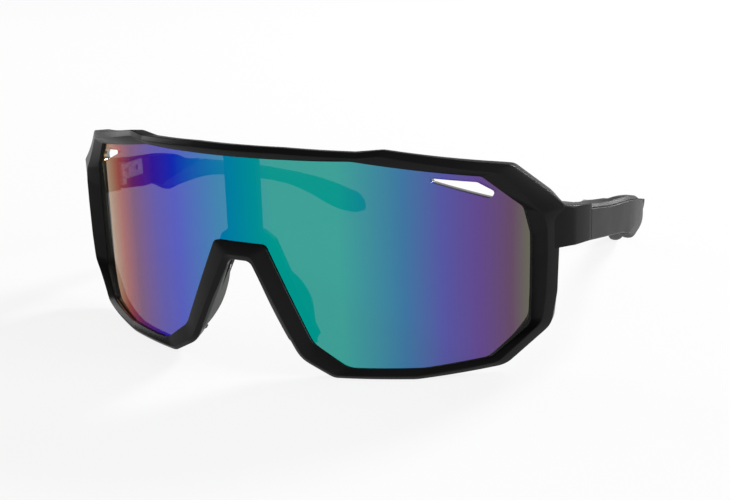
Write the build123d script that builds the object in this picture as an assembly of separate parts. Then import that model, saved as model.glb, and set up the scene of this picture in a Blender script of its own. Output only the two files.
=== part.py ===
"""Wraparound mountain glasses with a one-piece shield lens and two folding temples.

Millimetres. +X is the wearer's left, -Y is the way the wearer looks and +Z is up. The glasses are
modelled with the brow near Y = 0 and X = 0 as the mirror plane, standing open on a table on the
lower rim and the temple ends. Every piece is then moved once, so that the origin is in the middle
of the footprint on the table. Outlines of the front are drawn in the XZ plane and carried straight
back through bands of one upright cylinder, which gives the front its wrap.
"""
from build123d import *
from math import cos, radians, sin, sqrt
import os

os.makedirs("parts", exist_ok=True)

# ---- the wrap of the front: bands round one upright axis
FRONT_Y = 0.5                  # frontmost line of the rim
WRAP_R = 89.5                  # radius of the rim's front face
FRAME_DEPTH = 4.6              # rim, front to back, along the radius
LENS_SET_BACK = 1.3            # rim's front face to lens's front face
LENS_T = 1.8                   # lens thickness
LENS_GRIP = 1.5                # how far the lens reaches into the rim's groove
GROOVE_GAP = 0.06              # air round the lens in its groove
AXIS_Y = FRONT_Y + WRAP_R
FLARE_X = 57.0                 # beyond this the rim's face turns forward, off the cylinder
FLARE = [(64.4, 26.9), (70.6, 30.0)]           # (x, y) along the flared face
FLARE_END_SLOPE = 0.35         # dy / dx where the flare ends
SIDE_WALL = [(70.6, 30.0), (68.4, 33.4), (65.0, 35.6)]
REAR_X = 58.0                  # where the side wall meets the rim's curved rear face

# ---- front outlines, wearer's left half, (x, z); radii are listed corner by corner
RIM_HALF = [(33.0, 56.1), (60.8, 51.1), (72.0, 40.8), (72.6, 37.0), (71.0, 29.5), (70.0, 20.0), (69.0, 11.4),
            (60.0, 2.7), (42.0, 0.0), (23.4, 0.0), (15.2, 4.4), (11.2, 11.6), (2.9, 27.7)]
# lines along the rim's outer edge behind which it leans in: two ends (x, y, z) and the angle
LEANS = [((33.0, 8.3, 56.1), (60.8, 26.0, 51.1), 12), ((60.8, 26.0, 51.1), (72.0, 32.0, 40.8), 35),
         ((69.0, 30.6, 11.4), (60.0, 24.5, 2.7), 30)]
BROW_DIP = [(14.0, 56.2), (29.6, 55.3), (33.0, 56.2), (33.0, 60.0), (14.0, 60.0)]
OPENING_HALF = [(28.5, 53.2), (55.0, 48.8), (63.0, 40.6), (64.6, 34.0), (64.4, 11.8), (56.6, 4.4),
                (43.5, 2.6), (27.0, 2.6), (18.6, 8.6), (7.4, 32.4)]
OPENING_R = [12.0, 1.5, 3.0, 6.0, 2.0, 3.0, 10.0, 6.0, 6.0, 1.8]
VENT = [(45.0, 48.1), (45.3, 49.0), (54.2, 47.5), (57.6, 44.9), (56.7, 43.3)]
VENT_R = [0.6, 0.3, 1.2, 0.9, 0.7]

# ---- end piece, hinge and fold
END_Y = 41.8                   # rear face of the end piece
END_IN_X = 67.0
END_TOP = [(26.0, 42.0), (END_Y, 39.3)]        # (y, z) along its top
END_BOTTOM = [(END_Y, 30.1), (26.0, 31.6)]     # (y, z) along its underside
END_PLAN = [(END_IN_X, 26.0), (69.0, 28.9), (73.3, 34.0), (74.5, END_Y), (END_IN_X, END_Y)]
PIVOT = (68.2, 42.3)           # hinge axis, (x, y)
KNUCKLE_R = 1.6
KNUCKLE_GAP = 0.15
RELIEF_R = 1.9                 # room cut round the knuckles
RELIEF_GAP = 0.3               # and above and below them
HINGE_Z = (31.6, 37.8)         # foot and top of the hinge barrel
SHANK_R = 0.7
SHANK_GAP = 0.05               # running clearance in the temple's knuckle
HEAD_R = 1.15
HEAD_T = 0.7
SLOT = (0.4, 0.6)              # width and depth of the driver slot, twice over
LEAF_T = 1.2
TAB_Y = (36.8, 40.54)          # the front leaf's tab
PLATE_X = 69.8                 # outer face of the temple leaf's plate
PLATE_Y = (44.5, 53.1)
PLATE_Z = (32.4, 37.0)
RIVET_R = 0.6
RIVET_HEAD_R = 1.0
RIVET_HEAD_T = 0.4
RIVET_L = 3.0
RIVET_Y = (46.9, 51.3)

# ---- temple: side outline (y, z) and plan (x of the outer face, y)
ARM_Y = 42.05                  # front end of the temple, a hair behind the end piece
ARM_TOP = [(ARM_Y, 38.9), (54.0, 36.8), (70.0, 34.6), (75.5, 33.3), (80.5, 31.1), (88.0, 29.4)]
ARM_FOOT = [(66.5, 25.5), (62.5, 26.9), (ARM_Y, 30.0)]
SPLIT = [(88.0, 29.4), (77.0, 27.8), (66.5, 25.5)]         # where the ear sleeve begins
SLEEVE_TOP = [(88.0, 29.4), (97.0, 27.9), (108.0, 25.8), (117.0, 22.6), (126.0, 18.6), (134.0, 14.5),
              (141.0, 10.2), (146.4, 5.6), (148.2, 2.0)]
SLEEVE_FOOT = [(146.8, 0.0), (141.0, 1.2), (136.0, 4.0), (130.5, 8.6), (121.5, 15.4), (114.0, 18.7),
               (106.0, 20.8), (90.0, 21.7), (76.0, 21.8), (66.5, 25.5)]
SLEEVE_END = (148.1, 0.5)       # between them, round the sleeve's end
ARM_PLAN = [(74.5, ARM_Y), (75.5, 52.0), (76.2, 62.0), (76.6, 72.0), (76.4, 81.0), (75.0, 90.0),
            (70.8, 103.0), (64.6, 117.0), (56.6, 133.0), (46.4, 152.0)]
ARM_T = 4.0
BOSS = [(69.2, ARM_Y), (69.2, 54.0), (72.0, 63.0), (74.0, 63.0), (73.0, ARM_Y)]   # inside the arm
PANEL_PROUD = 0.35             # how far the temple's flat panel stands out from the ear sleeve
CORE_LINE = [(73.0, 30.3), (86.0, 27.0), (100.0, 24.9), (110.0, 22.8), (122.0, 18.3), (133.0, 11.0)]
CORE_H = 2.6                   # stiff core inside the ear sleeve
CORE_X = (1.2, 2.9)            # its faces, in from the arm's outer face

# ---- nose carrier and pads
STRUT_HALF_W = 4.5
STRUT_TOP = 53.1
STRUT_FOOT = 32.5
STRUT_T = 2.0
CLIP_HALF_W = 7.0
CLIP_T = 1.3
CLIP_Z = (52.4, 55.2)
ARCH_T = 1.4
ARCH_HALF = [(4.6, 34.8), (7.6, 32.8), (12.8, 20.8), (17.8, 9.6), (15.9, 6.0), (11.9, 12.2), (3.7, 28.4)]
# level slices of the left wing: height, then (x, y) of its front and its rear edge
WING = [(27.5, (4.4, 5.5), (5.6, 6.4)), (22.0, (6.4, 5.8), (8.7, 9.9)), (17.0, (8.8, 6.1), (10.8, 11.3)),
        (12.0, (11.3, 6.5), (12.6, 10.2)), (7.0, (14.0, 7.1), (14.8, 8.3))]
PAD_T = 1.4
WING_T = 0.9

# ---- placing: footprint centre to the origin
BACK_Y = 148.32                # rearmost line of the ear sleeves
PLACE = Pos(0, -(FRONT_Y + BACK_Y) / 2, 0)

# ---- reach of the solids that cut or bound other shapes
FAR = 200.0
AHEAD = 10.0                   # how far in front of the rim a carried outline begins
FRONT_HALF_Y = 18.0            # the wrap's bands end this far in front of its axis
TALL = 60.0                    # higher than the whole object
SIDE_X = (30.0, 90.0)          # spans either temple


def full(half):
    """A half outline and its mirror image, as one closed round of points."""
    return half + [(-x, z) for x, z in reversed(half)]


def carried_back(face, back=FAR / 2):
    """A front outline carried straight back from in front of the rim."""
    return extrude(Plane.XZ * face, amount=back + AHEAD, dir=(0, 1, 0)).translate((0, -AHEAD, 0))


def opening_face(step):
    """The lens opening's outline, grown by a step."""
    radii = OPENING_R + OPENING_R[::-1]
    face = make_face(FilletPolyline(*full(OPENING_HALF), radius=radii, close=True))
    return offset(face, amount=step, kind=Kind.INTERSECTION) if step else face


def band(outer, inner):
    """The front half of an upright ring between two depths behind the rim's front face."""
    ring = Cylinder(WRAP_R - outer, FAR) - Cylinder(WRAP_R - inner, FAR)
    keep = Pos(0, -WRAP_R / 2 - FRONT_HALF_Y, 0) * Box(FAR, WRAP_R, FAR)
    return Pos(0, AXIS_Y, 0) * (ring & keep)


def across(face, low, high):
    """A (y, z) outline carried across from one X to another."""
    return Pos(low, 0, 0) * extrude(Plane.YZ * face, amount=high - low)


def upright(points, low, high):
    """A (x, y) outline carried up from one Z to another."""
    return Pos(0, 0, low) * extrude(make_face(Polyline(*points, close=True)), amount=high - low)


def on_axis(radius, low, high):
    """An upright cylinder on the left hinge axis."""
    return Pos(PIVOT[0], PIVOT[1], (low + high) / 2) * Cylinder(radius, high - low)


def knuckle_levels():
    """Foot and top of the lower, middle and upper knuckles."""
    low, high = HINGE_Z
    each = (high - low - 2 * KNUCKLE_GAP) / 3
    step = each + KNUCKLE_GAP
    return [(low + i * step, low + i * step + each) for i in range(3)]


def beyond(start, end, tilt):
    """Everything outside a plane that leans in towards the rear from one line of the rim's edge."""
    start, end = Vector(*start), Vector(*end)
    along = (end - start).normalized()
    outward = along.cross(Vector(0, 1, 0)).normalized()
    rearward = outward.cross(along)
    lean = radians(tilt)
    normal = outward * cos(lean) + rearward * sin(lean)
    return Plane(origin=start, z_dir=normal) * Pos(0, 0, FAR / 2) * Box(2 * FAR, 2 * FAR, FAR)


def end_piece():
    """The lug at the rim's side that carries the hinge."""
    lug = across(make_face(Polyline(*END_TOP, *END_BOTTOM, close=True)), END_IN_X, SIDE_X[1])
    return lug & upright(END_PLAN, 0, TALL)


def arc_y(x, radius):
    """Y of an upright cylinder round the wrap's axis at a given X."""
    return AXIS_Y - sqrt(radius ** 2 - x ** 2)


def rim_plan():
    """The rim from above: the cylinder across the face, flared sides and side walls that turn in."""
    front_y = arc_y(FLARE_X, WRAP_R)
    slope = FLARE_X / (AXIS_Y - front_y)
    front = ThreePointArc((-FLARE_X, front_y), (0, FRONT_Y), (FLARE_X, front_y))
    flare = Spline((FLARE_X, front_y), *FLARE, tangents=[(1, slope), (1, FLARE_END_SLOPE)])
    rear_r = WRAP_R - FRAME_DEPTH
    rear_y = arc_y(REAR_X, rear_r)
    wall = Polyline(*SIDE_WALL, (REAR_X, rear_y))
    rear = ThreePointArc((-REAR_X, rear_y), (0, AXIS_Y - rear_r), (REAR_X, rear_y))
    left = [flare, wall]
    return make_face([front, rear] + left + [mirror(edge, about=Plane.YZ) for edge in left])


def hinge_tab():
    """The front leaf's tab, which the end piece is moulded round."""
    low, high = HINGE_Z
    middle = Pos(PIVOT[0], sum(TAB_Y) / 2, (low + high) / 2)
    return middle * Box(LEAF_T, TAB_Y[1] - TAB_Y[0], high - low)


def front_frame():
    """Rim and both end pieces in one moulding, with the lens groove and the hinge pockets."""
    outline = make_face(Polyline(*full(RIM_HALF), close=True))
    ring = carried_back(outline, END_Y) & extrude(rim_plan(), amount=TALL)
    for start, end, tilt in LEANS:
        waste = beyond(start, end, tilt)
        ring = ring - waste - mirror(waste, about=Plane.YZ)
    lug = end_piece()
    ring = ring + lug + mirror(lug, about=Plane.YZ)
    dip = carried_back(make_face(Polyline(*BROW_DIP, close=True)))
    ring = ring - dip - mirror(dip, about=Plane.YZ)
    ring = ring - carried_back(opening_face(0))
    groove = band(LENS_SET_BACK - GROOVE_GAP, LENS_SET_BACK + LENS_T + GROOVE_GAP)
    ring = ring - (carried_back(opening_face(LENS_GRIP + GROOVE_GAP)) & groove)
    low, high = HINGE_Z
    pocket = on_axis(RELIEF_R, low - RELIEF_GAP, high + RELIEF_GAP) + hinge_tab()
    return ring - pocket - mirror(pocket, about=Plane.YZ)


def shield_lens():
    """One cylindrical lens across both eyes, with a vent slot near each upper corner."""
    lens = carried_back(opening_face(LENS_GRIP)) & band(LENS_SET_BACK, LENS_SET_BACK + LENS_T)
    slot = carried_back(make_face(FilletPolyline(*VENT, radius=VENT_R, close=True)))
    return lens - slot - mirror(slot, about=Plane.YZ)


def nose_carrier():
    """Strut down the middle behind the lens, its clip behind the brow, the arch and both wings."""
    behind_lens = LENS_SET_BACK + LENS_T + 2 * GROOVE_GAP
    strut = Polyline((-STRUT_HALF_W, STRUT_FOOT), (-STRUT_HALF_W, STRUT_TOP), (STRUT_HALF_W, STRUT_TOP),
                     (STRUT_HALF_W, STRUT_FOOT), close=True)
    strut = carried_back(make_face(strut)) & band(behind_lens, behind_lens + STRUT_T)
    low, high = CLIP_Z
    clip = Polyline((-CLIP_HALF_W, high), (CLIP_HALF_W, high), (CLIP_HALF_W, low), (-CLIP_HALF_W, low),
                    close=True)
    behind_rim = FRAME_DEPTH + GROOVE_GAP
    clip = carried_back(make_face(clip)) & band(behind_rim, behind_rim + CLIP_T)
    arch = carried_back(make_face(Polyline(*full(ARCH_HALF), close=True)))
    arch = arch & band(behind_rim, behind_rim + ARCH_T)
    wing = nose_blade(PAD_T, PAD_T + WING_T)
    pad = nose_blade(0, PAD_T)
    carrier = strut + clip + arch + wing + mirror(wing, about=Plane.YZ)
    return carrier - pad - mirror(pad, about=Plane.YZ)


def nose_blade(inner, outer):
    """Loft of level slices of the left wing, between two distances from the face the nose touches."""
    slices = []
    for z, (front_x, front_y), (back_x, back_y) in WING:
        corners = [(front_x + inner, front_y, z), (back_x + inner, back_y, z),
                   (back_x + outer, back_y, z), (front_x + outer, front_y, z)]
        slices.append(make_face(Polyline(*corners, close=True)))
    return loft(slices)


def front_leaf():
    """Metal leaf moulded into the end piece: a tab with the lower and the upper knuckle."""
    lower, _, upper = knuckle_levels()
    leaf = hinge_tab()
    for low, high in (lower, upper):
        neck = Pos(PIVOT[0], (TAB_Y[0] + PIVOT[1]) / 2, (low + high) / 2)
        leaf = leaf + on_axis(KNUCKLE_R, low, high) + neck * Box(LEAF_T, PIVOT[1] - TAB_Y[0], high - low)
    leaf = leaf - on_axis(SHANK_R, *HINGE_Z)
    return leaf - on_axis(HEAD_R, HINGE_Z[1] - HEAD_T, HINGE_Z[1])


def hinge_screw():
    """Shouldered screw, its head let into the upper knuckle, with a driver slot."""
    low, high = HINGE_Z
    screw = on_axis(SHANK_R, low, high - HEAD_T) + on_axis(HEAD_R, high - HEAD_T, high)
    return screw - Pos(PIVOT[0], PIVOT[1], high) * Box(3 * HEAD_R, *SLOT)


def temple_leaf():
    """Metal leaf on the temple: the middle knuckle and a plate let into the arm's inner face."""
    low, high = knuckle_levels()[1]
    leaf = on_axis(KNUCKLE_R, low, high) + plate_block()
    return leaf - on_axis(SHANK_R + SHANK_GAP, low, high) - rivets(0)


def plate_block():
    """The temple leaf's plate with its neck, which is also the shape of the recess it lies in."""
    inner = PLATE_X - LEAF_T
    y_low, y_high = PLATE_Y
    plate = upright([(inner, y_low), (PLATE_X, y_low), (PLATE_X, y_high), (inner, y_high)], *PLATE_Z)
    neck = [(inner, PIVOT[1]), (PLATE_X, PIVOT[1]), (PLATE_X, y_low), (inner, y_low)]
    return plate + upright(neck, *knuckle_levels()[1])


def rivets(head_t):
    """Two rivets through the temple leaf's plate into the arm, with heads of a given thickness."""
    both = []
    for y in RIVET_Y:
        place = Pos(PLATE_X - LEAF_T, y, sum(PLATE_Z) / 2) * Rot(0, 90, 0)
        rivet = place * Pos(0, 0, RIVET_L / 2) * Cylinder(RIVET_R, RIVET_L)
        if head_t:
            rivet = rivet + place * Pos(0, 0, -head_t / 2) * Cylinder(RIVET_HEAD_R, head_t)
        both.append(rivet)
    return both[0] + both[1]


def plan_band(outer, inner):
    """The temple's plan between two distances in from its outer face, carried up."""
    outside = Spline(*[(x - outer, y) for x, y in ARM_PLAN])
    inside = Spline(*[(x - inner, y) for x, y in ARM_PLAN])
    ends = [Line(outside @ 0, inside @ 0), Line(outside @ 1, inside @ 1)]
    return extrude(make_face([outside, inside] + ends), amount=TALL)


def core():
    """The arm's stiff core, which runs on inside the ear sleeve."""
    top = [(y, z + CORE_H / 2) for y, z in CORE_LINE]
    foot = [(y, z - CORE_H / 2) for y, z in reversed(CORE_LINE)]
    return across(make_face(Polyline(*top, *foot, close=True)), *SIDE_X) & plan_band(*CORE_X)


def temple_arm():
    """Front part of the temple: hinge boss, flat outer panel and the core behind it."""
    side = [Spline(*ARM_TOP), Polyline(*SPLIT), Polyline(*ARM_FOOT), Line(ARM_FOOT[-1], ARM_TOP[0])]
    outline = across(make_face(side), *SIDE_X)
    arm = outline & plan_band(0, ARM_T)
    arm = arm + (outline & upright(BOSS, 0, TALL))
    low, high = HINGE_Z
    arm = arm - on_axis(RELIEF_R, low - RELIEF_GAP, high + RELIEF_GAP) - plate_block() - rivets(0)
    return arm + core()


def ear_sleeve():
    """Soft sleeve over the core, behind and below the panel, hooked down and in at its end."""
    tip = Spline(SLEEVE_TOP[-1], SLEEVE_END, SLEEVE_FOOT[0])
    side = [Spline(*SLEEVE_TOP), tip, Spline(*SLEEVE_FOOT), Polyline(*SPLIT[::-1])]
    sleeve = across(make_face(side), *SIDE_X) & plan_band(PANEL_PROUD, ARM_T)
    return sleeve - core()


def both_sides(name, shape, found):
    """Adds a left piece and its mirror image on the right."""
    found[name + "_left"] = shape
    found[name + "_right"] = mirror(shape, about=Plane.YZ)


parts = {"front_frame": front_frame(), "shield_lens": shield_lens(), "nose_carrier": nose_carrier()}
both_sides("nose_pad", nose_blade(0, PAD_T), parts)
both_sides("hinge_front_leaf", front_leaf(), parts)
both_sides("hinge_screw", hinge_screw(), parts)
both_sides("hinge_temple_leaf", temple_leaf(), parts)
both_sides("leaf_rivets", rivets(RIVET_HEAD_T), parts)
both_sides("temple_arm", temple_arm(), parts)
both_sides("ear_sleeve", ear_sleeve(), parts)
for name, shape in parts.items():
    export_step(PLACE * shape, f"parts/{name}.step")
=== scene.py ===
"""Wraparound mountain glasses: the visible pieces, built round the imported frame.

Drafting units are millimetres, in the frame the model was drawn in: X = 0 is the mirror plane, -Y is the
way the wearer looks, Z = 0 is the table. placed() carries finished points into the row's frame.
"""

import bpy
import numpy as np
from bpy.props import FloatProperty, FloatVectorProperty, PointerProperty
from mathutils import Matrix, Vector


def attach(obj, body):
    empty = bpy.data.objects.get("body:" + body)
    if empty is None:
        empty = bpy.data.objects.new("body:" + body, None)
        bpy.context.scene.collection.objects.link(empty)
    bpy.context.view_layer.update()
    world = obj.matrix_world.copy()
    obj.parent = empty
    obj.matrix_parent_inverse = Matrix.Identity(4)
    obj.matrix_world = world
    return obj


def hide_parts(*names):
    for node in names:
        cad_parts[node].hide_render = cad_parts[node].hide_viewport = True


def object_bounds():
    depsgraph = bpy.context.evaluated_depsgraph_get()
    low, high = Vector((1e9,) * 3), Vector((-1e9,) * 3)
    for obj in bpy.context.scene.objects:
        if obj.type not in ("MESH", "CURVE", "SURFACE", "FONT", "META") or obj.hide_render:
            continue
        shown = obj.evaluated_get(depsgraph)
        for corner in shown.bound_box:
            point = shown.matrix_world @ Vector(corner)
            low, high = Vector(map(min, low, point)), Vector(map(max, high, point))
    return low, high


bl_info = {
    "name": "Wraparound mountain glasses",
    "version": (1, 0, 0),
    "blender": (4, 5, 0),
    "location": "3D View > Sidebar > Glasses",
    "description": "Builds the visible pieces of wraparound glasses round their packed frame",
    "category": "Add Mesh",
}

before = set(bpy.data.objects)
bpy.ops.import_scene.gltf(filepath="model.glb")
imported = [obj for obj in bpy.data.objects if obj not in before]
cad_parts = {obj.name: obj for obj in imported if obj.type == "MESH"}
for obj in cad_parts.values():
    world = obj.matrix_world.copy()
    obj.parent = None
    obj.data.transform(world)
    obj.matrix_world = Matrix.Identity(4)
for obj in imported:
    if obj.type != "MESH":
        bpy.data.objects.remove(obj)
CAD_BOX = [list(corner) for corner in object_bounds()]
MM = 0.001
BROW_Y = 0.5                                   # frontmost line of the rim while drafting
SHIFT_Y = CAD_BOX[0][1] / MM - BROW_Y          # from drafting Y to the row's Y
SIDES = (("left", 1), ("right", -1))

# ---- the wrap: one upright cylinder across the face, then sides that flare off it
WRAP_R = 89.5
AXIS_Y = BROW_Y + WRAP_R
RIM_DEPTH = 4.6
LENS_BACK = 1.3                                # rim's face to lens's face, along the radius
LENS_T = 1.8
FLARE_X = 57.0
FLARE_END = (70.6, 30.0, 0.35)                 # x, y and slope where the flare ends
REAR_X = 58.0
REAR_END = (67.2, 34.7)

# ---- the rim, wearer's left half from brow to nose: x, z and corner radius of three matched outlines,
# and how far the bevel falls back from the ridge to the edge
RIM = np.array([
    # edge                 ridge                 lens opening          fall
    [12.0, 56.2, 20.0,     12.0, 54.9, 20.0,     12.0, 53.2, 0.0,      0.9],
    [30.6, 55.4, 3.0,      30.6, 54.2, 3.0,      20.0, 53.2, 0.0,      0.9],
    [36.0, 56.0, 4.0,      35.6, 54.6, 5.0,      28.5, 53.2, 12.0,     0.9],
    [61.2, 51.3, 3.0,      58.8, 49.8, 2.0,      55.0, 48.8, 1.5,      1.2],
    [71.8, 40.9, 1.0,      67.7, 39.5, 2.0,      63.0, 40.6, 3.0,      2.4],
    [70.3, 38.0, 1.0,      68.5, 36.0, 6.0,      64.3, 34.0, 6.0,      2.6],
    [70.3, 30.6, 1.0,      68.6, 29.5, 6.0,      64.35, 29.5, 6.0,     2.5],
    [70.1, 20.0, 12.0,     68.3, 20.0, 12.0,     64.3, 20.0, 6.0,      2.2],
    [69.0, 11.8, 6.0,      67.5, 12.9, 5.0,      64.1, 11.8, 3.0,      1.8],
    [60.0, 2.5, 5.0,       58.9, 3.7, 4.0,       56.6, 4.4, 3.0,       1.2],
    [42.0, 0.0, 14.0,      42.3, 1.1, 12.0,      43.5, 2.6, 10.0,      0.9],
    [23.4, 0.0, 4.0,       24.1, 1.0, 4.0,       27.0, 2.6, 6.0,       0.8],
    [15.2, 4.4, 8.0,       16.3, 5.2, 8.0,       18.6, 8.6, 6.0,       0.8],
    [11.2, 11.6, 20.0,     12.5, 12.2, 20.0,     16.2, 13.7, 0.0,      0.8],
    [2.9, 27.7, 2.5,       3.9, 29.2, 2.2,       7.4, 32.4, 1.8,       0.8]])
LIP = 0.5                                      # the opening's front lip stands this far before the lens
PROUD = (34.0, 64.0, 1.1)                      # the face comes forward by this much between these two x
LIP_PROUD = 0.3                                # and the lip by this share of it
REAR_SHARES = (0.8, 0.42)                      # rear edge and rear opening, as shares from opening to edge

# ---- end piece that carries the hinge: outer face (x, y), inner face x, top z and foot z, front to back
LUG = np.array([
    [67.9, 28.95, 66.0, 42.6, 29.4],
    [68.6, 29.15, 66.4, 42.0, 29.6],
    [69.6, 30.0, 66.8, 41.5, 30.2],
    [70.8, 31.1, 67.0, 41.1, 30.7],
    [72.9, 33.2, 67.0, 40.7, 30.9],
    [73.5, 34.4, 67.0, 40.5, 30.8],
    [74.4, 40.4, 67.0, 39.55, 30.25],
    [74.42, 40.5, 70.2, 39.5, 30.2],
    [74.5, 41.8, 70.2, 39.3, 30.1]])

# ---- temple, side outlines (y, z) and plan (y, x of the outer face)
ARM_Y = (42.05, 88.0)
ARM_TOP = np.array([(42.05, 38.9), (54, 36.8), (70, 34.6), (75.5, 33.3), (80.5, 31.1), (88, 29.4)])
ARM_FOOT = np.array([(42.05, 30.0), (62.5, 26.9), (66.5, 25.5)])
SPLIT = np.array([(66.5, 25.5), (77.0, 27.8), (88.0, 29.4)])
SLEEVE_Y = (66.5, 148.32)
SLEEVE_TOP = np.array([(88, 29.4), (97, 27.0), (108, 23.8), (117, 20.8), (126, 17.4), (134, 13.8),
                       (141, 9.8), (146.4, 5.6), (148.0, 2.8), (148.32, 1.3)])
SLEEVE_FOOT = np.array([(66.5, 25.5), (71, 23.0), (76, 23.2), (90, 23.6), (106, 19.6), (114, 17.2),
                        (121.5, 14.0), (130.5, 8.2), (136, 4.0), (141, 1.2), (146.8, 0.02), (148.0, 0.5),
                        (148.32, 1.1)])
ARM_PLAN = np.array([(42.05, 74.5), (52, 75.5), (62, 76.2), (72, 76.5), (81, 75.6), (90, 73.2), (103, 68.8),
                     (117, 62.9), (133, 55.6), (152, 46.0)])
ARM_T = 4.0
ARM_THIN_Y = 60.0                              # behind this the panel is no thicker than ARM_T
GROOVE = (0.32, 0.5)                           # depths of the groove under the strip, upper and lower lip
GROOVE_DROP = (0.75, 0.95, 1.15)               # how far under the top its three lines run
ARM_ROUND = (0.5, 0.4, 0.12, 0.08, 0.12, 0.4, 0.4, 0.5)
SLEEVE_DOME = 3.0                              # length of the sleeve's rounded end
SLEEVE_INSET = 0.35                            # the sleeve lies this far inside the panel's face
BOSS = np.array([(42.05, 70.2), (44.2, 70.2), (44.25, 69.2), (54, 69.2), (63, 72.0), (66, 72.4), (152, 72.4)])

# ---- nose pads: z of a level slice, then x and y of its front and of its rear edge
PAD = np.array([
    [28.2, 2.6, 1.6, 5.0, 6.0], [24.8, 4.1, 1.5, 7.9, 9.1], [22.0, 5.5, 1.5, 9.5, 11.2],
    [17.0, 8.0, 1.6, 11.7, 12.9], [12.0, 10.6, 1.9, 13.3, 11.8], [6.4, 13.6, 2.4, 15.8, 8.1]])
PAD_T = 1.4
PAD_DOME = 2.5                                 # height over which each end is drawn in
PAD_TIP = 0.9                                  # and by how much of its size

# ---- camera, found from the object's own proportions
VIEW_AZ, VIEW_EL, VIEW_ROLL = np.radians([28.9, 16.4, -1.86])
VIEW_TARGET = np.array([13.4, 40.0, 21.3])
VIEW_DISTANCE = 339.0
VIEW_LENS, SENSOR = 63.6, 36.0

# ---- soft lamps: name, place and aim in metres, diameter, watts
LAMPS = (("right_lamp", (1.3, 0.25, 0.45), (0.06, 0.0, 0.03), 0.7, 15.0),
         ("back_lamp", (0.45, 1.3, 0.95), (0.07, 0.0, 0.03), 0.45, 26.0),
         ("left_lamp", (-1.3, 0.1, 0.5), (-0.06, 0.0, 0.03), 0.7, 5.0))


TABLE_HALF = 6.0                               # metres
TABLE_GREY = 0.12
SKY_SEEN = 0.93                                # the sky's brightness to the camera
SKY_SWEEP = (-0.6, 0.8)                        # directions along X between which its light changes


# ================================================================ numbers to points
def unit(vectors):
    """Each vector divided by its length."""
    return vectors / np.maximum(np.linalg.norm(vectors, axis=-1, keepdims=True), 1e-9)


def rounded(points, radii, steps, runs=0):
    """Closed rounds of corner points along axis 0, with every corner blended.

    Each corner P is cut at S and E, at radius * tan(turn / 2) along its two edges, and becomes the
    quadratic (1-t)^2 S + 2t(1-t) P + t^2 E. runs adds evenly spaced points on the straight stretches.
    """
    before, after = np.roll(points, 1, 0), np.roll(points, -1, 0)
    arrive, leave = unit(points - before), unit(after - points)
    turn = np.arccos(np.clip((arrive * leave).sum(-1, keepdims=True), -1, 1))
    cut = np.asarray(radii, float)[..., None] * np.tan(np.minimum(turn, 2.6) / 2)
    cut_in = np.minimum(cut, 0.49 * np.linalg.norm(points - before, axis=-1, keepdims=True))
    cut_out = np.minimum(cut, 0.49 * np.linalg.norm(after - points, axis=-1, keepdims=True))
    start, end = points - arrive * cut_in, points + leave * cut_out
    t = np.linspace(0, 1, steps).reshape((-1,) + (1,) * points.ndim)
    rows = [(1 - t) ** 2 * start + 2 * t * (1 - t) * points + t ** 2 * end]
    if runs:
        s = np.linspace(0, 1, runs + 2)[1:-1].reshape((-1,) + (1,) * points.ndim)
        rows.append(end + s * (np.roll(start, -1, 0) - end))
    both = np.concatenate(rows)
    return np.swapaxes(both, 0, 1).reshape((-1,) + points.shape[1:])


def smooth(at, knots):
    """A cubic Hermite curve through (u, value) knots, its slopes the mean slopes at the knots."""
    u, value = knots[:, 0], knots[:, 1]
    slope = np.gradient(value, u)
    k = np.clip(np.searchsorted(u, at) - 1, 0, len(u) - 2)
    h = u[k + 1] - u[k]
    t = np.clip((at - u[k]) / h, 0, 1)
    return ((2 * t ** 3 - 3 * t ** 2 + 1) * value[k] + (t ** 3 - 2 * t ** 2 + t) * h * slope[k]
            + (3 * t ** 2 - 2 * t ** 3) * value[k + 1] + (t ** 3 - t ** 2) * h * slope[k + 1])


def face_y(x):
    """Y of the rim's face: the cylinder out to FLARE_X, then a Hermite flare, then a straight line."""
    x = np.abs(x)
    start_y = AXIS_Y - np.sqrt(WRAP_R ** 2 - FLARE_X ** 2)
    start_slope = FLARE_X / (AXIS_Y - start_y)
    end_x, end_y, end_slope = FLARE_END
    h = end_x - FLARE_X
    t = np.clip((x - FLARE_X) / h, 0, 1)
    flare = ((2 * t ** 3 - 3 * t ** 2 + 1) * start_y + (t ** 3 - 2 * t ** 2 + t) * h * start_slope
             + (3 * t ** 2 - 2 * t ** 3) * end_y + (t ** 3 - t ** 2) * h * end_slope)
    flare = flare + np.maximum(x - end_x, 0) * end_slope
    return np.where(x < FLARE_X, AXIS_Y - np.sqrt(WRAP_R ** 2 - np.minimum(x, FLARE_X) ** 2), flare)


def rear_y(x):
    """Y of the rim's rear face: a cylinder RIM_DEPTH inside the face out to REAR_X, then straight back."""
    x = np.abs(x)
    inner = WRAP_R - RIM_DEPTH
    start_y = AXIS_Y - np.sqrt(inner ** 2 - REAR_X ** 2)
    slope = (REAR_END[1] - start_y) / (REAR_END[0] - REAR_X)
    side = start_y + (np.minimum(x, REAR_END[0]) - REAR_X) * slope - np.maximum(x - REAR_END[0], 0) * 0.25
    return np.where(x < REAR_X, AXIS_Y - np.sqrt(inner ** 2 - np.minimum(x, REAR_X) ** 2), side)


def proud(x):
    """How far the face comes forward at x, easing in along a smoothstep."""
    t = np.clip((np.abs(x) - PROUD[0]) / (PROUD[1] - PROUD[0]), 0, 1)
    return PROUD[2] * t * t * (3 - 2 * t)


def lens_y(x):
    """Y of the lens's outer face."""
    return AXIS_Y - np.sqrt((WRAP_R - LENS_BACK) ** 2 - x ** 2)


def placed(points):
    """Drafting millimetres to the row's metres."""
    return (points + np.array([0.0, SHIFT_Y, 0.0])) * MM


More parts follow.
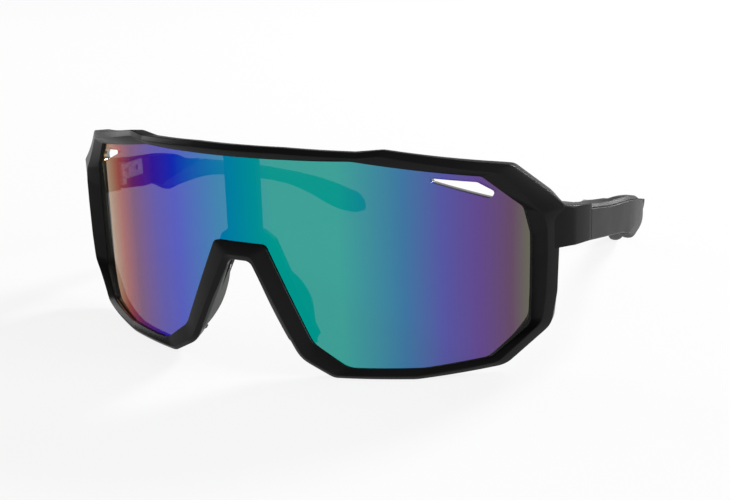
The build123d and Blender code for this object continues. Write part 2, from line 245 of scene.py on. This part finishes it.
# ================================================================ points to meshes
def grid_faces(rows, columns, first, close_rows):
    """Quads of a grid whose columns close on themselves, and whose rows may."""
    last = rows if close_rows else rows - 1
    i, j = np.meshgrid(np.arange(last), np.arange(columns), indexing="ij")
    down, right = (i + 1) % rows, (j + 1) % columns
    quads = np.stack([i * columns + j, i * columns + right, down * columns + right, down * columns + j], -1)
    return quads.reshape(-1, 4) + first


def shell(points, close_rows=False, first=0):
    """Vertices and faces of one closed skin over a grid of points, rows by columns.

    Columns go round a section. Open ends are closed with a fan to the section's middle. The volume
    under the faces is summed, and if it is negative the faces are turned over.
    """
    rows, columns = points.shape[:2]
    vertices = points.reshape(-1, 3)
    faces = grid_faces(rows, columns, 0, close_rows)
    fans = np.zeros((0, 3), int)
    if not close_rows:
        j = np.arange(columns)
        near = np.stack([np.roll(j, -1), j, np.full(columns, rows * columns)], -1)
        far = (rows - 1) * columns
        tail = np.stack([far + j, far + np.roll(j, -1), np.full(columns, rows * columns + 1)], -1)
        fans = np.concatenate([near, tail])
        vertices = np.concatenate([vertices, points[[0, -1]].mean(1)])
    corner = [vertices[faces[:, k]] for k in range(4)]
    volume = (np.cross(corner[0], corner[1]) * corner[2]).sum()
    volume += (np.cross(corner[0], corner[2]) * corner[3]).sum()
    if len(fans):
        volume += (np.cross(vertices[fans[:, 0]], vertices[fans[:, 1]]) * vertices[fans[:, 2]]).sum()
    if volume < 0:
        faces, fans = faces[:, ::-1], fans[:, ::-1]
    return vertices, (faces + first).tolist() + (fans + first).tolist()


def mirrored(points, side):
    """The same points on the wearer's left (1) or right (-1)."""
    return points * np.array([side, 1.0, 1.0])


def add_piece(name, grids, body, replaced, finish, sharp=35.0):
    """One object from one or more grids of drafting points, riding on a body."""
    vertices, faces, count = [], [], 0
    for points, close_rows in grids:
        new, polygons = shell(placed(points), close_rows, count)
        vertices.append(new)
        faces += polygons
        count += len(new)
    mesh = bpy.data.meshes.new(name)
    mesh.from_pydata(np.concatenate(vertices).tolist(), [], faces)
    mesh.validate()
    mesh.shade_smooth()
    mesh.set_sharp_from_angle(angle=np.radians(sharp))
    piece = bpy.data.objects.new(name, mesh)
    bpy.context.scene.collection.objects.link(piece)
    mesh.materials.append(finish)
    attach(piece, body)
    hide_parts(*replaced)
    return piece


# ================================================================ shapes
def rim_grid(settings):
    """The rim: five matched rounds joined into one closed tube.

    From the lens opening's front lip to the ridge on the rim's face, out and back down a bevel to the
    edge, along the wall to the rear edge, across the rear face and forward through the opening.
    """
    table = np.concatenate([RIM, RIM[::-1] * np.array([-1, 1, 1] * 3 + [1])])
    edge, ridge, lip = [rounded(table[:, k:k + 2], table[:, k + 2], 7, 9) for k in (0, 3, 6)]
    fall = rounded(table[:, [9, 9]], np.zeros(len(table)), 7, 9)[:, 0] * settings.bevel_fall / MM
    rear, back = [lip + share * (edge - lip) for share in REAR_SHARES]
    rounds = [lip, ridge, edge, rear, back]
    ys = [lens_y(lip[:, 0]) - LIP - LIP_PROUD * proud(lip[:, 0]), face_y(ridge[:, 0]) - proud(ridge[:, 0]),
          face_y(edge[:, 0]) + fall - proud(edge[:, 0]), rear_y(rear[:, 0]),
          rear_y(back[:, 0])]
    corners = np.stack([np.stack([r[:, 0], y, r[:, 1]], -1) for r, y in zip(rounds, ys)])
    edge_r = settings.edge_round / MM
    radii = np.array([0.9, 1.0, 1.2, 1.6, 1.6])[:, None] * edge_r * np.ones(corners.shape[1])
    return np.swapaxes(rounded(corners, radii, 4), 0, 1)


def lug_grid(settings):
    """An end piece: upright rounded sections, lofted from inside the rim back to the hinge."""
    x, y, inner, top, foot = LUG.T
    corners = np.stack([np.stack([x, y, top], -1), np.stack([x, y, foot], -1),
                        np.stack([inner, y, foot], -1), np.stack([inner, y, top], -1)])
    edge_r = settings.edge_round / MM
    radii = np.array([1.5, 1.5, 1.0, 1.0])[:, None] * edge_r * np.ones(len(x))
    return np.swapaxes(rounded(corners, radii, 5, 3), 0, 1)


def arm_grid(settings):
    """The front part of a temple: sections across Y, lofted along it.

    The outer side has an upper strip that leans in, a fine groove under it and the flat panel below.
    """
    low, high = ARM_Y
    y = low + (high - low) * np.linspace(0, 1, 90)
    outer = smooth(y, ARM_PLAN)
    top = smooth(y, ARM_TOP)
    foot = np.where(y < ARM_FOOT[-1, 0], np.interp(y, *ARM_FOOT.T), np.interp(y, *SPLIT.T))
    foot = np.minimum(foot, top - 0.02)
    tall = np.minimum((top - foot) / 3.0, 1.0)
    inner = np.minimum(np.interp(y, *BOSS.T), outer - 1.0)
    inner = np.where(y > ARM_THIN_Y, np.maximum(inner, outer - ARM_T), inner)
    strip = settings.strip_width / MM
    high_lip, low_lip, panel = [top - drop * tall for drop in GROOVE_DROP]
    spots = [(inner, top), (outer - strip, top), (outer - GROOVE[0], high_lip), (outer - GROOVE[1], low_lip),
             (outer, panel), (outer, foot + 0.35 * tall), (outer - 0.35, foot), (inner, foot)]
    corners = np.stack([np.stack([a, y, b], -1) for a, b in spots])
    radii = np.array(ARM_ROUND)[:, None] * np.ones(len(y))
    return np.swapaxes(rounded(corners, radii, 4), 0, 1)


def sleeve_grid(settings):
    """The soft ear sleeve: full rounded sections across Y, lofted along it to a domed end."""
    low, high = SLEEVE_Y
    y = low + (high - low) * np.sin(np.linspace(0, 1, 150) * np.pi / 2)
    outer = smooth(y, ARM_PLAN) - SLEEVE_INSET
    top = np.where(y < SPLIT[-1, 0], np.interp(y, *SPLIT.T) - 0.05, smooth(y, SLEEVE_TOP))
    foot = np.clip(smooth(y, SLEEVE_FOOT), 0.0, top - 0.05)
    bulge = settings.sleeve_round / MM
    inner = outer - (ARM_T - SLEEVE_INSET)
    end = np.sqrt(np.clip((high - y) / SLEEVE_DOME, 0, 1))
    middle = (outer + inner) / 2
    outer, inner = middle + (outer - middle) * end, middle + (inner - middle) * end
    spots = [(inner, top), (outer, top), (outer, foot), (inner, foot)]
    corners = np.stack([np.stack([a, y, b], -1) for a, b in spots])
    return np.swapaxes(rounded(corners, bulge * np.ones(corners.shape[:2]), 9, 2), 0, 1)


def pad_grid(settings):
    """A nose pad: level rounded sections between the slices of PAD, drawn in to a dome at both ends."""
    z = np.linspace(PAD[-1, 0], PAD[0, 0], 40)
    ordered = PAD[::-1]
    front_x, front_y, back_x, back_y = [smooth(z, ordered[:, [0, k]]) for k in (1, 2, 3, 4)]
    low, high = PAD[-1, 0], PAD[0, 0]
    dome = 1 - PAD_TIP + PAD_TIP * np.sqrt(np.clip(np.minimum(z - low, high - z) / PAD_DOME, 0, 1))
    spots = [(front_x, front_y), (back_x, back_y), (back_x + PAD_T, back_y), (front_x + PAD_T, front_y)]
    corners = np.stack([np.stack([a, b, z], -1) for a, b in spots])
    middle = corners.mean(0)
    corners = middle + (corners - middle) * dome[:, None]
    radius = settings.pad_round / MM
    return np.swapaxes(rounded(corners, radius * np.ones(corners.shape[:2]), 6, 2), 0, 1)


# ================================================================ finishes
def group(name, inputs, outputs):
    """A new shader node group with named sockets; returns it with its nodes, links and two ends."""
    tree = bpy.data.node_groups.new(name, "ShaderNodeTree")
    kinds = {"value": "NodeSocketFloat", "colour": "NodeSocketColor"}
    for label, kind, default in inputs:
        tree.interface.new_socket(label, in_out="INPUT", socket_type=kinds[kind]).default_value = default
    for label, kind in outputs:
        tree.interface.new_socket(label, in_out="OUTPUT", socket_type=kinds[kind])
    return tree, tree.nodes.new("NodeGroupInput"), tree.nodes.new("NodeGroupOutput")


def add_node(tree, kind, settings=None, **inputs):
    """A node with its settings, and its inputs set or linked by name (spaces as underscores)."""
    node = tree.nodes.new("ShaderNode" + kind)
    for key, value in (settings or {}).items():
        setattr(node, key, value)
    for key, value in inputs.items():
        socket = node.inputs[int(key[1:])] if key[0] == "_" else node.inputs[key.replace("_", " ")]
        if isinstance(value, bpy.types.NodeSocket):
            tree.links.new(value, socket)
        else:
            socket.default_value = value
    return node


def moulded_group():
    """Moulded plastic or rubber: fine spark-eroded grain, and broad patches where hands have polished it."""
    tree, given, out = group(
        "moulded_surface",
        [("Colour", "colour", (0.02, 0.02, 0.02, 1)), ("Polished Colour", "colour", (0.03, 0.03, 0.03, 1)),
         ("Roughness", "value", 0.4), ("Polished Roughness", "value", 0.3), ("Grain Scale", "value", 4000.0)],
        [("Colour", "colour"), ("Roughness", "value"), ("Height", "value")])
    where = add_node(tree, "TexCoord").outputs["Object"]
    patches = add_node(tree, "TexNoise", Vector=where, Scale=55.0, Detail=3.0, Roughness=0.6)
    mask = add_node(tree, "MapRange", Value=patches.outputs["Fac"], From_Min=0.42, From_Max=0.66)
    grain = add_node(tree, "TexNoise", Vector=where, Scale=given.outputs["Grain Scale"], Detail=2.0)
    pits = add_node(tree, "TexVoronoi", Vector=where, Scale=given.outputs["Grain Scale"])
    height = add_node(tree, "Math", {"operation": "MULTIPLY_ADD"}, _0=grain.outputs["Fac"], _1=0.6,
                      _2=pits.outputs["Distance"])
    colour = add_node(tree, "Mix", {"data_type": "RGBA"}, _0=mask.outputs["Result"],
                      _6=given.outputs["Colour"], _7=given.outputs["Polished Colour"])
    rough = add_node(tree, "Mix", {"data_type": "FLOAT"}, _0=mask.outputs["Result"],
                     _2=given.outputs["Roughness"], _3=given.outputs["Polished Roughness"])
    spread = add_node(tree, "MapRange", Value=grain.outputs["Fac"], To_Min=-0.04, To_Max=0.04)
    total = add_node(tree, "Math", {"operation": "ADD"}, _0=rough.outputs[0], _1=spread.outputs["Result"])
    tree.links.new(colour.outputs[2], out.inputs["Colour"])
    tree.links.new(total.outputs[0], out.inputs["Roughness"])
    tree.links.new(height.outputs[0], out.inputs["Height"])
    return tree


def turned_group():
    """Worked steel: fine rings and streaks about the upright axis, with faint tarnish."""
    tree, given, out = group(
        "worked_steel",
        [("Colour", "colour", (0.5, 0.5, 0.52, 1)), ("Tarnish", "colour", (0.35, 0.34, 0.33, 1)),
         ("Roughness", "value", 0.28)],
        [("Colour", "colour"), ("Roughness", "value"), ("Height", "value")])
    where = add_node(tree, "TexCoord").outputs["Object"]
    stretched = add_node(tree, "Mapping", Vector=where, Scale=(300.0, 300.0, 6000.0))
    streaks = add_node(tree, "TexNoise", Vector=stretched.outputs[0], Scale=1.0, Detail=3.0)
    cloud = add_node(tree, "TexNoise", Vector=where, Scale=420.0, Detail=2.0)
    mask = add_node(tree, "MapRange", Value=cloud.outputs["Fac"], From_Min=0.5, From_Max=0.75)
    colour = add_node(tree, "Mix", {"data_type": "RGBA"}, _0=mask.outputs["Result"],
                      _6=given.outputs["Colour"], _7=given.outputs["Tarnish"])
    spread = add_node(tree, "MapRange", Value=streaks.outputs["Fac"], To_Min=-0.1, To_Max=0.14)
    rough = add_node(tree, "Math", {"operation": "ADD"}, _0=given.outputs["Roughness"],
                     _1=spread.outputs["Result"])
    tree.links.new(colour.outputs[2], out.inputs["Colour"])
    tree.links.new(rough.outputs[0], out.inputs["Roughness"])
    tree.links.new(streaks.outputs["Fac"], out.inputs["Height"])
    return tree


def new_material(name):
    """An empty node material with its Principled shader and output joined."""
    material = bpy.data.materials.new(name)
    material.use_nodes = True
    tree = material.node_tree
    tree.nodes.clear()
    shader = add_node(tree, "BsdfPrincipled")
    out = add_node(tree, "OutputMaterial")
    tree.links.new(shader.outputs[0], out.inputs["Surface"])
    return material, tree, shader


def surface_material(name, tree_group, values, shader_values, bump):
    """A material whose colour, roughness and fine relief come from one of the shared groups."""
    material, tree, shader = new_material(name)
    source = tree.nodes.new("ShaderNodeGroup")
    source.node_tree = tree_group
    for label, value in values.items():
        source.inputs[label].default_value = value
    relief = add_node(tree, "Bump", Strength=bump[0], Distance=bump[1], Height=source.outputs["Height"])
    tree.links.new(source.outputs["Colour"], shader.inputs["Base Color"])
    tree.links.new(source.outputs["Roughness"], shader.inputs["Roughness"])
    tree.links.new(relief.outputs[0], shader.inputs["Normal"])
    for label, value in shader_values.items():
        shader.inputs[label].default_value = value
    return material


def shade(level, tint=(1.0, 1.0, 1.0)):
    """A grey of one level, tinted."""
    return tuple(level * t for t in tint) + (1.0,)


# mirror coat, a spread of interference colours: x in millimetres, linear colour, how much the coat hides
COAT = [
    (-64, (0.50, 0.50, 0.30), 0.78),           # cream
    (-54, (0.60, 0.30, 0.10), 0.78),           # sand
    (-46, (0.45, 0.05, 0.03), 0.78),           # salmon
    (-38, (0.15, 0.00, 0.15), 0.78),           # plum
    (-28, (0.03, 0.00, 0.40), 0.78),           # violet
    (-20, (0.00, 0.02, 0.55), 0.80),           # blue
    (-6, (0.00, 0.20, 0.45), 0.88),            # azure
    (10, (0.00, 0.35, 0.30), 0.90),            # teal
    (26, (0.00, 0.35, 0.30), 0.90),            # teal
    (40, (0.00, 0.15, 0.35), 0.90),            # azure
    (48, (0.05, 0.05, 0.35), 0.90),            # violet
    (55, (0.10, 0.04, 0.25), 0.94),            # mauve
    (61, (0.12, 0.06, 0.12), 0.97),            # brown
    (65, (0.13, 0.15, 0.08), 0.97),            # olive
]
COAT_X = (-66.0, 66.0)
COAT_EDGE = 0.6                                # grey that the coat turns to where it is seen edge on


def ramp(tree, factor):
    """A colour ramp across the lens, from the stops of COAT, with the coat's cover as its alpha."""
    node = add_node(tree, "ValToRGB", Fac=factor)
    elements = node.color_ramp.elements
    low, high = COAT_X
    stops = [((x - low) / (high - low), (*colour, cover)) for x, colour, cover in COAT]
    for place, colour in stops[1:-1]:
        elements.new(place).color = colour
    elements[0].position, elements[0].color = stops[0]
    elements[-1].position, elements[-1].color = stops[-1]
    return node.outputs


def lens_material(settings):
    """Tinted lens with a mirror coat on its outer face, whose colour runs across it."""
    material, tree, shader = new_material("lens_mirror_coat")
    where = add_node(tree, "TexCoord").outputs["Object"]
    x, y = add_node(tree, "SeparateXYZ", Vector=where).outputs[:2]
    waver = add_node(tree, "TexNoise", Vector=where, Scale=9.0, Detail=1.0)
    drift = add_node(tree, "MapRange", Value=waver.outputs["Fac"], To_Min=-0.0015, To_Max=0.0015)
    shifted = add_node(tree, "Math", {"operation": "ADD"}, _0=x, _1=drift.outputs["Result"])
    across = add_node(tree, "MapRange", Value=shifted.outputs[0], From_Min=COAT_X[0] * MM,
                      From_Max=COAT_X[1] * MM)
    coat = ramp(tree, across.outputs["Result"])
    # distance from the wrap's axis tells the outer face from the inner one
    axis = (AXIS_Y + SHIFT_Y) * MM
    depth = add_node(tree, "Math", {"operation": "SUBTRACT"}, _0=y, _1=axis)
    across2 = add_node(tree, "Math", {"operation": "MULTIPLY"}, _0=x, _1=x)
    depth2 = add_node(tree, "Math", {"operation": "MULTIPLY_ADD"}, _0=depth.outputs[0], _1=depth.outputs[0],
                      _2=across2.outputs[0])
    radius = add_node(tree, "Math", {"operation": "SQRT"}, _0=depth2.outputs[0])
    middle = (WRAP_R - LENS_BACK - LENS_T / 2) * MM
    outside = add_node(tree, "MapRange", Value=radius.outputs[0], From_Min=middle - 0.0001,
                       From_Max=middle + 0.0001)
    colour = add_node(tree, "Mix", {"data_type": "RGBA"}, _0=outside.outputs["Result"],
                      _6=tuple(settings.lens_tint) + (1.0,), _7=coat["Color"])
    cover = add_node(tree, "Math", {"operation": "MULTIPLY"}, _0=coat["Alpha"], _1=settings.coat_cover)
    alpha = add_node(tree, "MapRange", Value=outside.outputs["Result"], To_Min=settings.tint_cover,
                     To_Max=cover.outputs[0])
    tree.links.new(colour.outputs[2], shader.inputs["Base Color"])
    tree.links.new(alpha.outputs["Result"], shader.inputs["Alpha"])
    shader.inputs["Metallic"].default_value = 1.0
    shader.inputs["Roughness"].default_value = settings.lens_roughness
    shader.inputs["Specular Tint"].default_value = shade(COAT_EDGE)
    return material


def finishes():
    """Every material of the glasses by name, made on first use."""
    found = {m.name: m for m in bpy.data.materials}
    if "frame_plastic" in found:
        return found
    settings = bpy.context.scene.glasses_finish
    moulded, worked = moulded_group(), turned_group()
    black = settings.plastic_level
    plastic = {"Specular IOR Level": settings.plastic_gloss}
    surface_material("frame_plastic", moulded, {
        "Colour": shade(black), "Polished Colour": shade(black * 1.25), "Roughness": 0.36,
        "Polished Roughness": 0.3, "Grain Scale": 5200.0}, plastic, (0.12, 0.00006))
    surface_material("temple_plastic", moulded, {
        "Colour": shade(black * 1.1), "Polished Colour": shade(black * 1.4), "Roughness": 0.42,
        "Polished Roughness": 0.34, "Grain Scale": 4200.0},
        {"Specular IOR Level": settings.plastic_gloss * 1.6}, (0.15, 0.00007))
    surface_material("carrier_plastic", moulded, {
        "Colour": shade(black), "Polished Colour": shade(black * 1.2), "Roughness": 0.45,
        "Polished Roughness": 0.4, "Grain Scale": 4600.0}, plastic, (0.15, 0.00007))
    soft = (0.98, 1.0, 0.96)
    # the pads' rubber is a lighter copy of the sleeves' rubber, raised to make up for the shade the pads sit
    # in: painted light
    for name, rubber in (("pad_rubber", settings.pad_painted_light_level), ("sleeve_rubber", settings.rubber_level)):
        surface_material(name, moulded, {
            "Colour": shade(rubber, soft), "Polished Colour": shade(rubber * 1.2, soft), "Roughness": 0.55,
            "Polished Roughness": 0.45, "Grain Scale": 3000.0},
            {"Specular IOR Level": 0.4, "Sheen Weight": 0.15, "Sheen Roughness": 0.5}, (0.2, 0.00009))
    steel = tuple(settings.steel_colour)
    surface_material("hinge_steel", worked, {
        "Colour": steel + (1.0,), "Tarnish": tuple(c * 0.75 for c in steel) + (1.0,), "Roughness": 0.3},
        {"Metallic": 1.0}, (0.15, 0.00003))
    surface_material("screw_steel", worked, {
        "Colour": tuple(min(c * 1.15, 1.0) for c in steel) + (1.0,), "Tarnish": steel + (1.0,),
        "Roughness": 0.22}, {"Metallic": 1.0}, (0.1, 0.00003))
    lens_material(settings)
    return {m.name: m for m in bpy.data.materials}


def repaint(node, finish):
    """Gives a CAD node one of the finishes."""
    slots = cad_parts[node].data.materials
    slots.clear()
    slots.append(finish)


# ================================================================ settings
class GlassesFront(bpy.types.PropertyGroup):
    """Sizes of the front."""
    edge_round: FloatProperty(name="Edge radius", description="Rounding of the rim's ridges and edges",
                              default=0.0004, min=0.0001, max=0.001, unit="LENGTH")
    bevel_fall: FloatProperty(name="Bevel fall", description="How far the bevel falls back to the rim's edge",
                              default=0.001, min=0.0, max=0.002, unit="LENGTH")
    pad_round: FloatProperty(name="Pad radius", description="Rounding of the nose pads",
                             default=0.0006, min=0.0001, max=0.0007, unit="LENGTH")


class GlassesTemple(bpy.types.PropertyGroup):
    """Sizes of the temples."""
    strip_width: FloatProperty(name="Strip width", description="Width of the leaning strip along the top",
                               default=0.0014, min=0.0006, max=0.0025, unit="LENGTH")
    sleeve_round: FloatProperty(name="Sleeve radius", description="Rounding of the ear sleeve",
                                default=0.0017, min=0.0004, max=0.0018, unit="LENGTH")


class GlassesFinish(bpy.types.PropertyGroup):
    """Colours and gloss of the pieces."""
    plastic_level: FloatProperty(name="Plastic grey", description="Linear grey of the black plastic",
                                 default=0.006, min=0.001, max=0.1, subtype="FACTOR")
    plastic_gloss: FloatProperty(name="Plastic gloss", description="Specular level of the black plastic",
                                 default=0.12, min=0.0, max=1.0, subtype="FACTOR")
    rubber_level: FloatProperty(name="Sleeve grey", description="Linear grey of the ear sleeves",
                                default=0.02, min=0.001, max=0.2, subtype="FACTOR")
    # grey of the nose pads, lighter than the sleeves to make up for the shade the pads sit in: painted light
    pad_painted_light_level: FloatProperty(name="Pad grey", description="Linear grey of the nose pads",
                             default=0.13, min=0.001, max=0.4, subtype="FACTOR")
    steel_colour: FloatVectorProperty(name="Steel colour", description="Colour of the hinge leaves",
                                      default=(0.5, 0.51, 0.53), min=0.0, max=1.0, subtype="COLOR")
    lens_tint: FloatVectorProperty(name="Lens tint", description="Colour of the lens's inner face",
                                   default=(0.05, 0.045, 0.04), min=0.0, max=1.0, subtype="COLOR")
    coat_cover: FloatProperty(name="Coat cover", description="Share of its full cover the mirror coat has",
                              default=1.0, min=0.0, max=1.0, subtype="FACTOR")
    tint_cover: FloatProperty(name="Tint cover", description="How much the tint behind it hides",
                              default=0.5, min=0.0, max=1.0, subtype="FACTOR")
    lens_roughness: FloatProperty(name="Lens roughness", description="Roughness of the mirror coat",
                                  default=0.04, min=0.0, max=1.0, subtype="FACTOR")


class GlassesStage(bpy.types.PropertyGroup):
    """Floor and light."""
    floor_glow: FloatProperty(name="Floor glow", description="Light that the lit table gives out",
                              default=0.855, min=0.0, max=2.0)
    left_light: FloatProperty(name="Left light", description="Even light from the wearer's right",
                              default=0.16, min=0.0)
    right_light: FloatProperty(name="Right light", description="Even light from the wearer's left",
                               default=0.3, min=0.0)
    lamp_power: FloatProperty(name="Lamp power", description="Strength of the soft lamps", default=1.0, min=0.0)


# ================================================================ operators
class GLASSES_OT_front(bpy.types.Operator):
    """Build the rim and the two end pieces as one moulding"""
    bl_idname = "glasses.front"
    bl_label = "Front frame"

    def execute(self, context):
        settings = context.scene.glasses_front
        lug = lug_grid(settings)
        grids = [(rim_grid(settings), True)] + [(mirrored(lug, side), False) for _, side in SIDES]
        add_piece("front_moulding", grids, "front", ["front_frame"], finishes()["frame_plastic"])
        return {"FINISHED"}


class GLASSES_OT_lens(bpy.types.Operator):
    """Give the lens its mirror coat"""
    bl_idname = "glasses.lens"
    bl_label = "Shield lens"

    def execute(self, context):
        repaint("shield_lens", finishes()["lens_mirror_coat"])
        return {"FINISHED"}


class GLASSES_OT_nose(bpy.types.Operator):
    """Build both nose pads and finish the carrier behind the lens"""
    bl_idname = "glasses.nose"
    bl_label = "Nose pads"

    def execute(self, context):
        settings = context.scene.glasses_front
        repaint("nose_carrier", finishes()["carrier_plastic"])
        for name, side in SIDES:
            add_piece("soft_pad_" + name, [(mirrored(pad_grid(settings), side), False)], "front",
                      # the pads get the rubber that is lightened against their shade: painted light
                      ["nose_pad_" + name], finishes()["pad_rubber"])
        return {"FINISHED"}


class GLASSES_OT_temples(bpy.types.Operator):
    """Build both temples: the hard front parts and the soft ear sleeves"""
    bl_idname = "glasses.temples"
    bl_label = "Temples"

    def execute(self, context):
        settings = context.scene.glasses_temple
        for name, side in SIDES:
            add_piece("temple_panel_" + name, [(mirrored(arm_grid(settings), side), False)], name + "_temple",
                      ["temple_arm_" + name], finishes()["temple_plastic"])
            add_piece("sleeve_" + name, [(mirrored(sleeve_grid(settings), side), False)], name + "_temple",
                      ["ear_sleeve_" + name], finishes()["sleeve_rubber"], sharp=60.0)
        return {"FINISHED"}


class GLASSES_OT_hinges(bpy.types.Operator):
    """Finish the hinge leaves, screws and rivets in worked steel"""
    bl_idname = "glasses.hinges"
    bl_label = "Hinges"

    def execute(self, context):
        for name, _ in SIDES:
            for node in ("hinge_front_leaf_", "hinge_temple_leaf_"):
                repaint(node + name, finishes()["hinge_steel"])
            for node in ("hinge_screw_", "leaf_rivets_"):
                repaint(node + name, finishes()["screw_steel"])
        return {"FINISHED"}


class GLASSES_OT_stage(bpy.types.Operator):
    """Set the pale table, the soft studio light and the camera"""
    bl_idname = "glasses.stage"
    bl_label = "Stage"

    def execute(self, context):
        settings = context.scene.glasses_stage
        self.table(settings)
        self.light(context.scene, settings)
        self.camera(context.scene)
        context.scene.view_settings.view_transform = "Standard"
        return {"FINISHED"}

    def table(self, settings):
        """A plain pale floor that gives out its own even light."""
        half = TABLE_HALF
        mesh = bpy.data.meshes.new("table")
        corners = [(-half, -half, 0), (half, -half, 0), (half, half, 0), (-half, half, 0)]
        mesh.from_pydata(corners, [], [(0, 1, 2, 3)])
        table = bpy.data.objects.new("table", mesh)
        bpy.context.scene.collection.objects.link(table)
        material, tree, shader = new_material("pale_table")
        shader.inputs["Base Color"].default_value = shade(TABLE_GREY)
        shader.inputs["Roughness"].default_value = 1.0
        shader.inputs["Specular IOR Level"].default_value = 0.0
        shader.inputs["Emission Color"].default_value = (1.0, 1.0, 1.0, 1.0)
        shader.inputs["Emission Strength"].default_value = settings.floor_glow
        mesh.materials.append(material)

    def light(self, scene, settings):
        """A dim room, pale to the camera, and three soft lamps."""
        world = bpy.data.worlds.new("studio")
        scene.world = world
        world.use_nodes = True
        tree = world.node_tree
        tree.nodes.clear()
        way = add_node(tree, "SeparateXYZ", Vector=add_node(tree, "TexCoord").outputs["Generated"])
        strength = add_node(tree, "MapRange", {"interpolation_type": "SMOOTHSTEP"}, Value=way.outputs[0],
                            From_Min=SKY_SWEEP[0], From_Max=SKY_SWEEP[1], To_Min=settings.left_light,
                            To_Max=settings.right_light)
        seen = add_node(tree, "Mix", {"data_type": "FLOAT"}, _0=add_node(tree, "LightPath").outputs[0],
                        _2=strength.outputs["Result"], _3=SKY_SEEN)
        sky = add_node(tree, "Background", Strength=seen.outputs[0])
        sky.inputs["Color"].default_value = (1.0, 1.0, 1.0, 1.0)
        out = add_node(tree, "OutputWorld")
        tree.links.new(sky.outputs[0], out.inputs["Surface"])
        for name, place, aim, size, power in LAMPS:
            data = bpy.data.lights.new(name, "AREA")
            data.shape = "DISK"
            data.size = size
            data.energy = power * settings.lamp_power
            lamp = bpy.data.objects.new(name, data)
            lamp.location = place
            lamp.rotation_euler = (Vector(aim) - Vector(place)).to_track_quat("-Z", "Y").to_euler()
            scene.collection.objects.link(lamp)

    def camera(self, scene):
        """A long lens a little above the front, from the wearer's left."""
        az, el, roll = VIEW_AZ, VIEW_EL, VIEW_ROLL
        back = np.array([np.sin(az) * np.cos(el), -np.cos(az) * np.cos(el), np.sin(el)])
        right = np.array([np.cos(az), np.sin(az), 0.0])
        up = np.cross(back, right)
        across = np.cos(roll) * right + np.sin(roll) * up
        upward = -np.sin(roll) * right + np.cos(roll) * up
        eye = placed(VIEW_TARGET + back * VIEW_DISTANCE)
        data = bpy.data.cameras.new("camera")
        data.sensor_width = SENSOR
        data.lens = VIEW_LENS
        data.clip_start = 0.01
        camera = bpy.data.objects.new("camera", data)
        scene.collection.objects.link(camera)
        matrix = np.eye(4)
        matrix[:3, :4] = np.stack([across, upward, back, eye], 1)
        camera.matrix_world = Matrix(matrix.tolist())
        scene.camera = camera


class GLASSES_PT_panel(bpy.types.Panel):
    """The glasses' settings and steps in the sidebar"""
    bl_idname = "GLASSES_PT_panel"
    bl_label = "Glasses"
    bl_space_type = "VIEW_3D"
    bl_region_type = "UI"
    bl_category = "Glasses"

    def draw(self, context):
        for label in SETTINGS:
            box = self.layout.box()
            settings = getattr(context.scene, label)
            for key in settings.__annotations__:
                box.prop(settings, key)
        for step in STEPS:
            self.layout.operator(step.bl_idname)


SETTINGS = {"glasses_front": GlassesFront, "glasses_temple": GlassesTemple, "glasses_finish": GlassesFinish,
            "glasses_stage": GlassesStage}
STEPS = (GLASSES_OT_stage, GLASSES_OT_front, GLASSES_OT_lens, GLASSES_OT_nose, GLASSES_OT_temples,
         GLASSES_OT_hinges)


def register():
    """Makes the settings, steps and panel known to Blender."""
    for kind in (*SETTINGS.values(), *STEPS, GLASSES_PT_panel):
        bpy.utils.register_class(kind)
    for label, kind in SETTINGS.items():
        setattr(bpy.types.Scene, label, PointerProperty(type=kind))


def unregister():
    """Takes them out again."""
    for label in SETTINGS:
        delattr(bpy.types.Scene, label)
    for kind in (GLASSES_PT_panel, *STEPS[::-1], *list(SETTINGS.values())[::-1]):
        bpy.utils.unregister_class(kind)


def main():
    """Builds everything in order."""
    register()
    for step in STEPS:
        area, name = step.bl_idname.split(".")
        getattr(getattr(bpy.ops, area), name)()


if __name__ == "__main__":
    main()
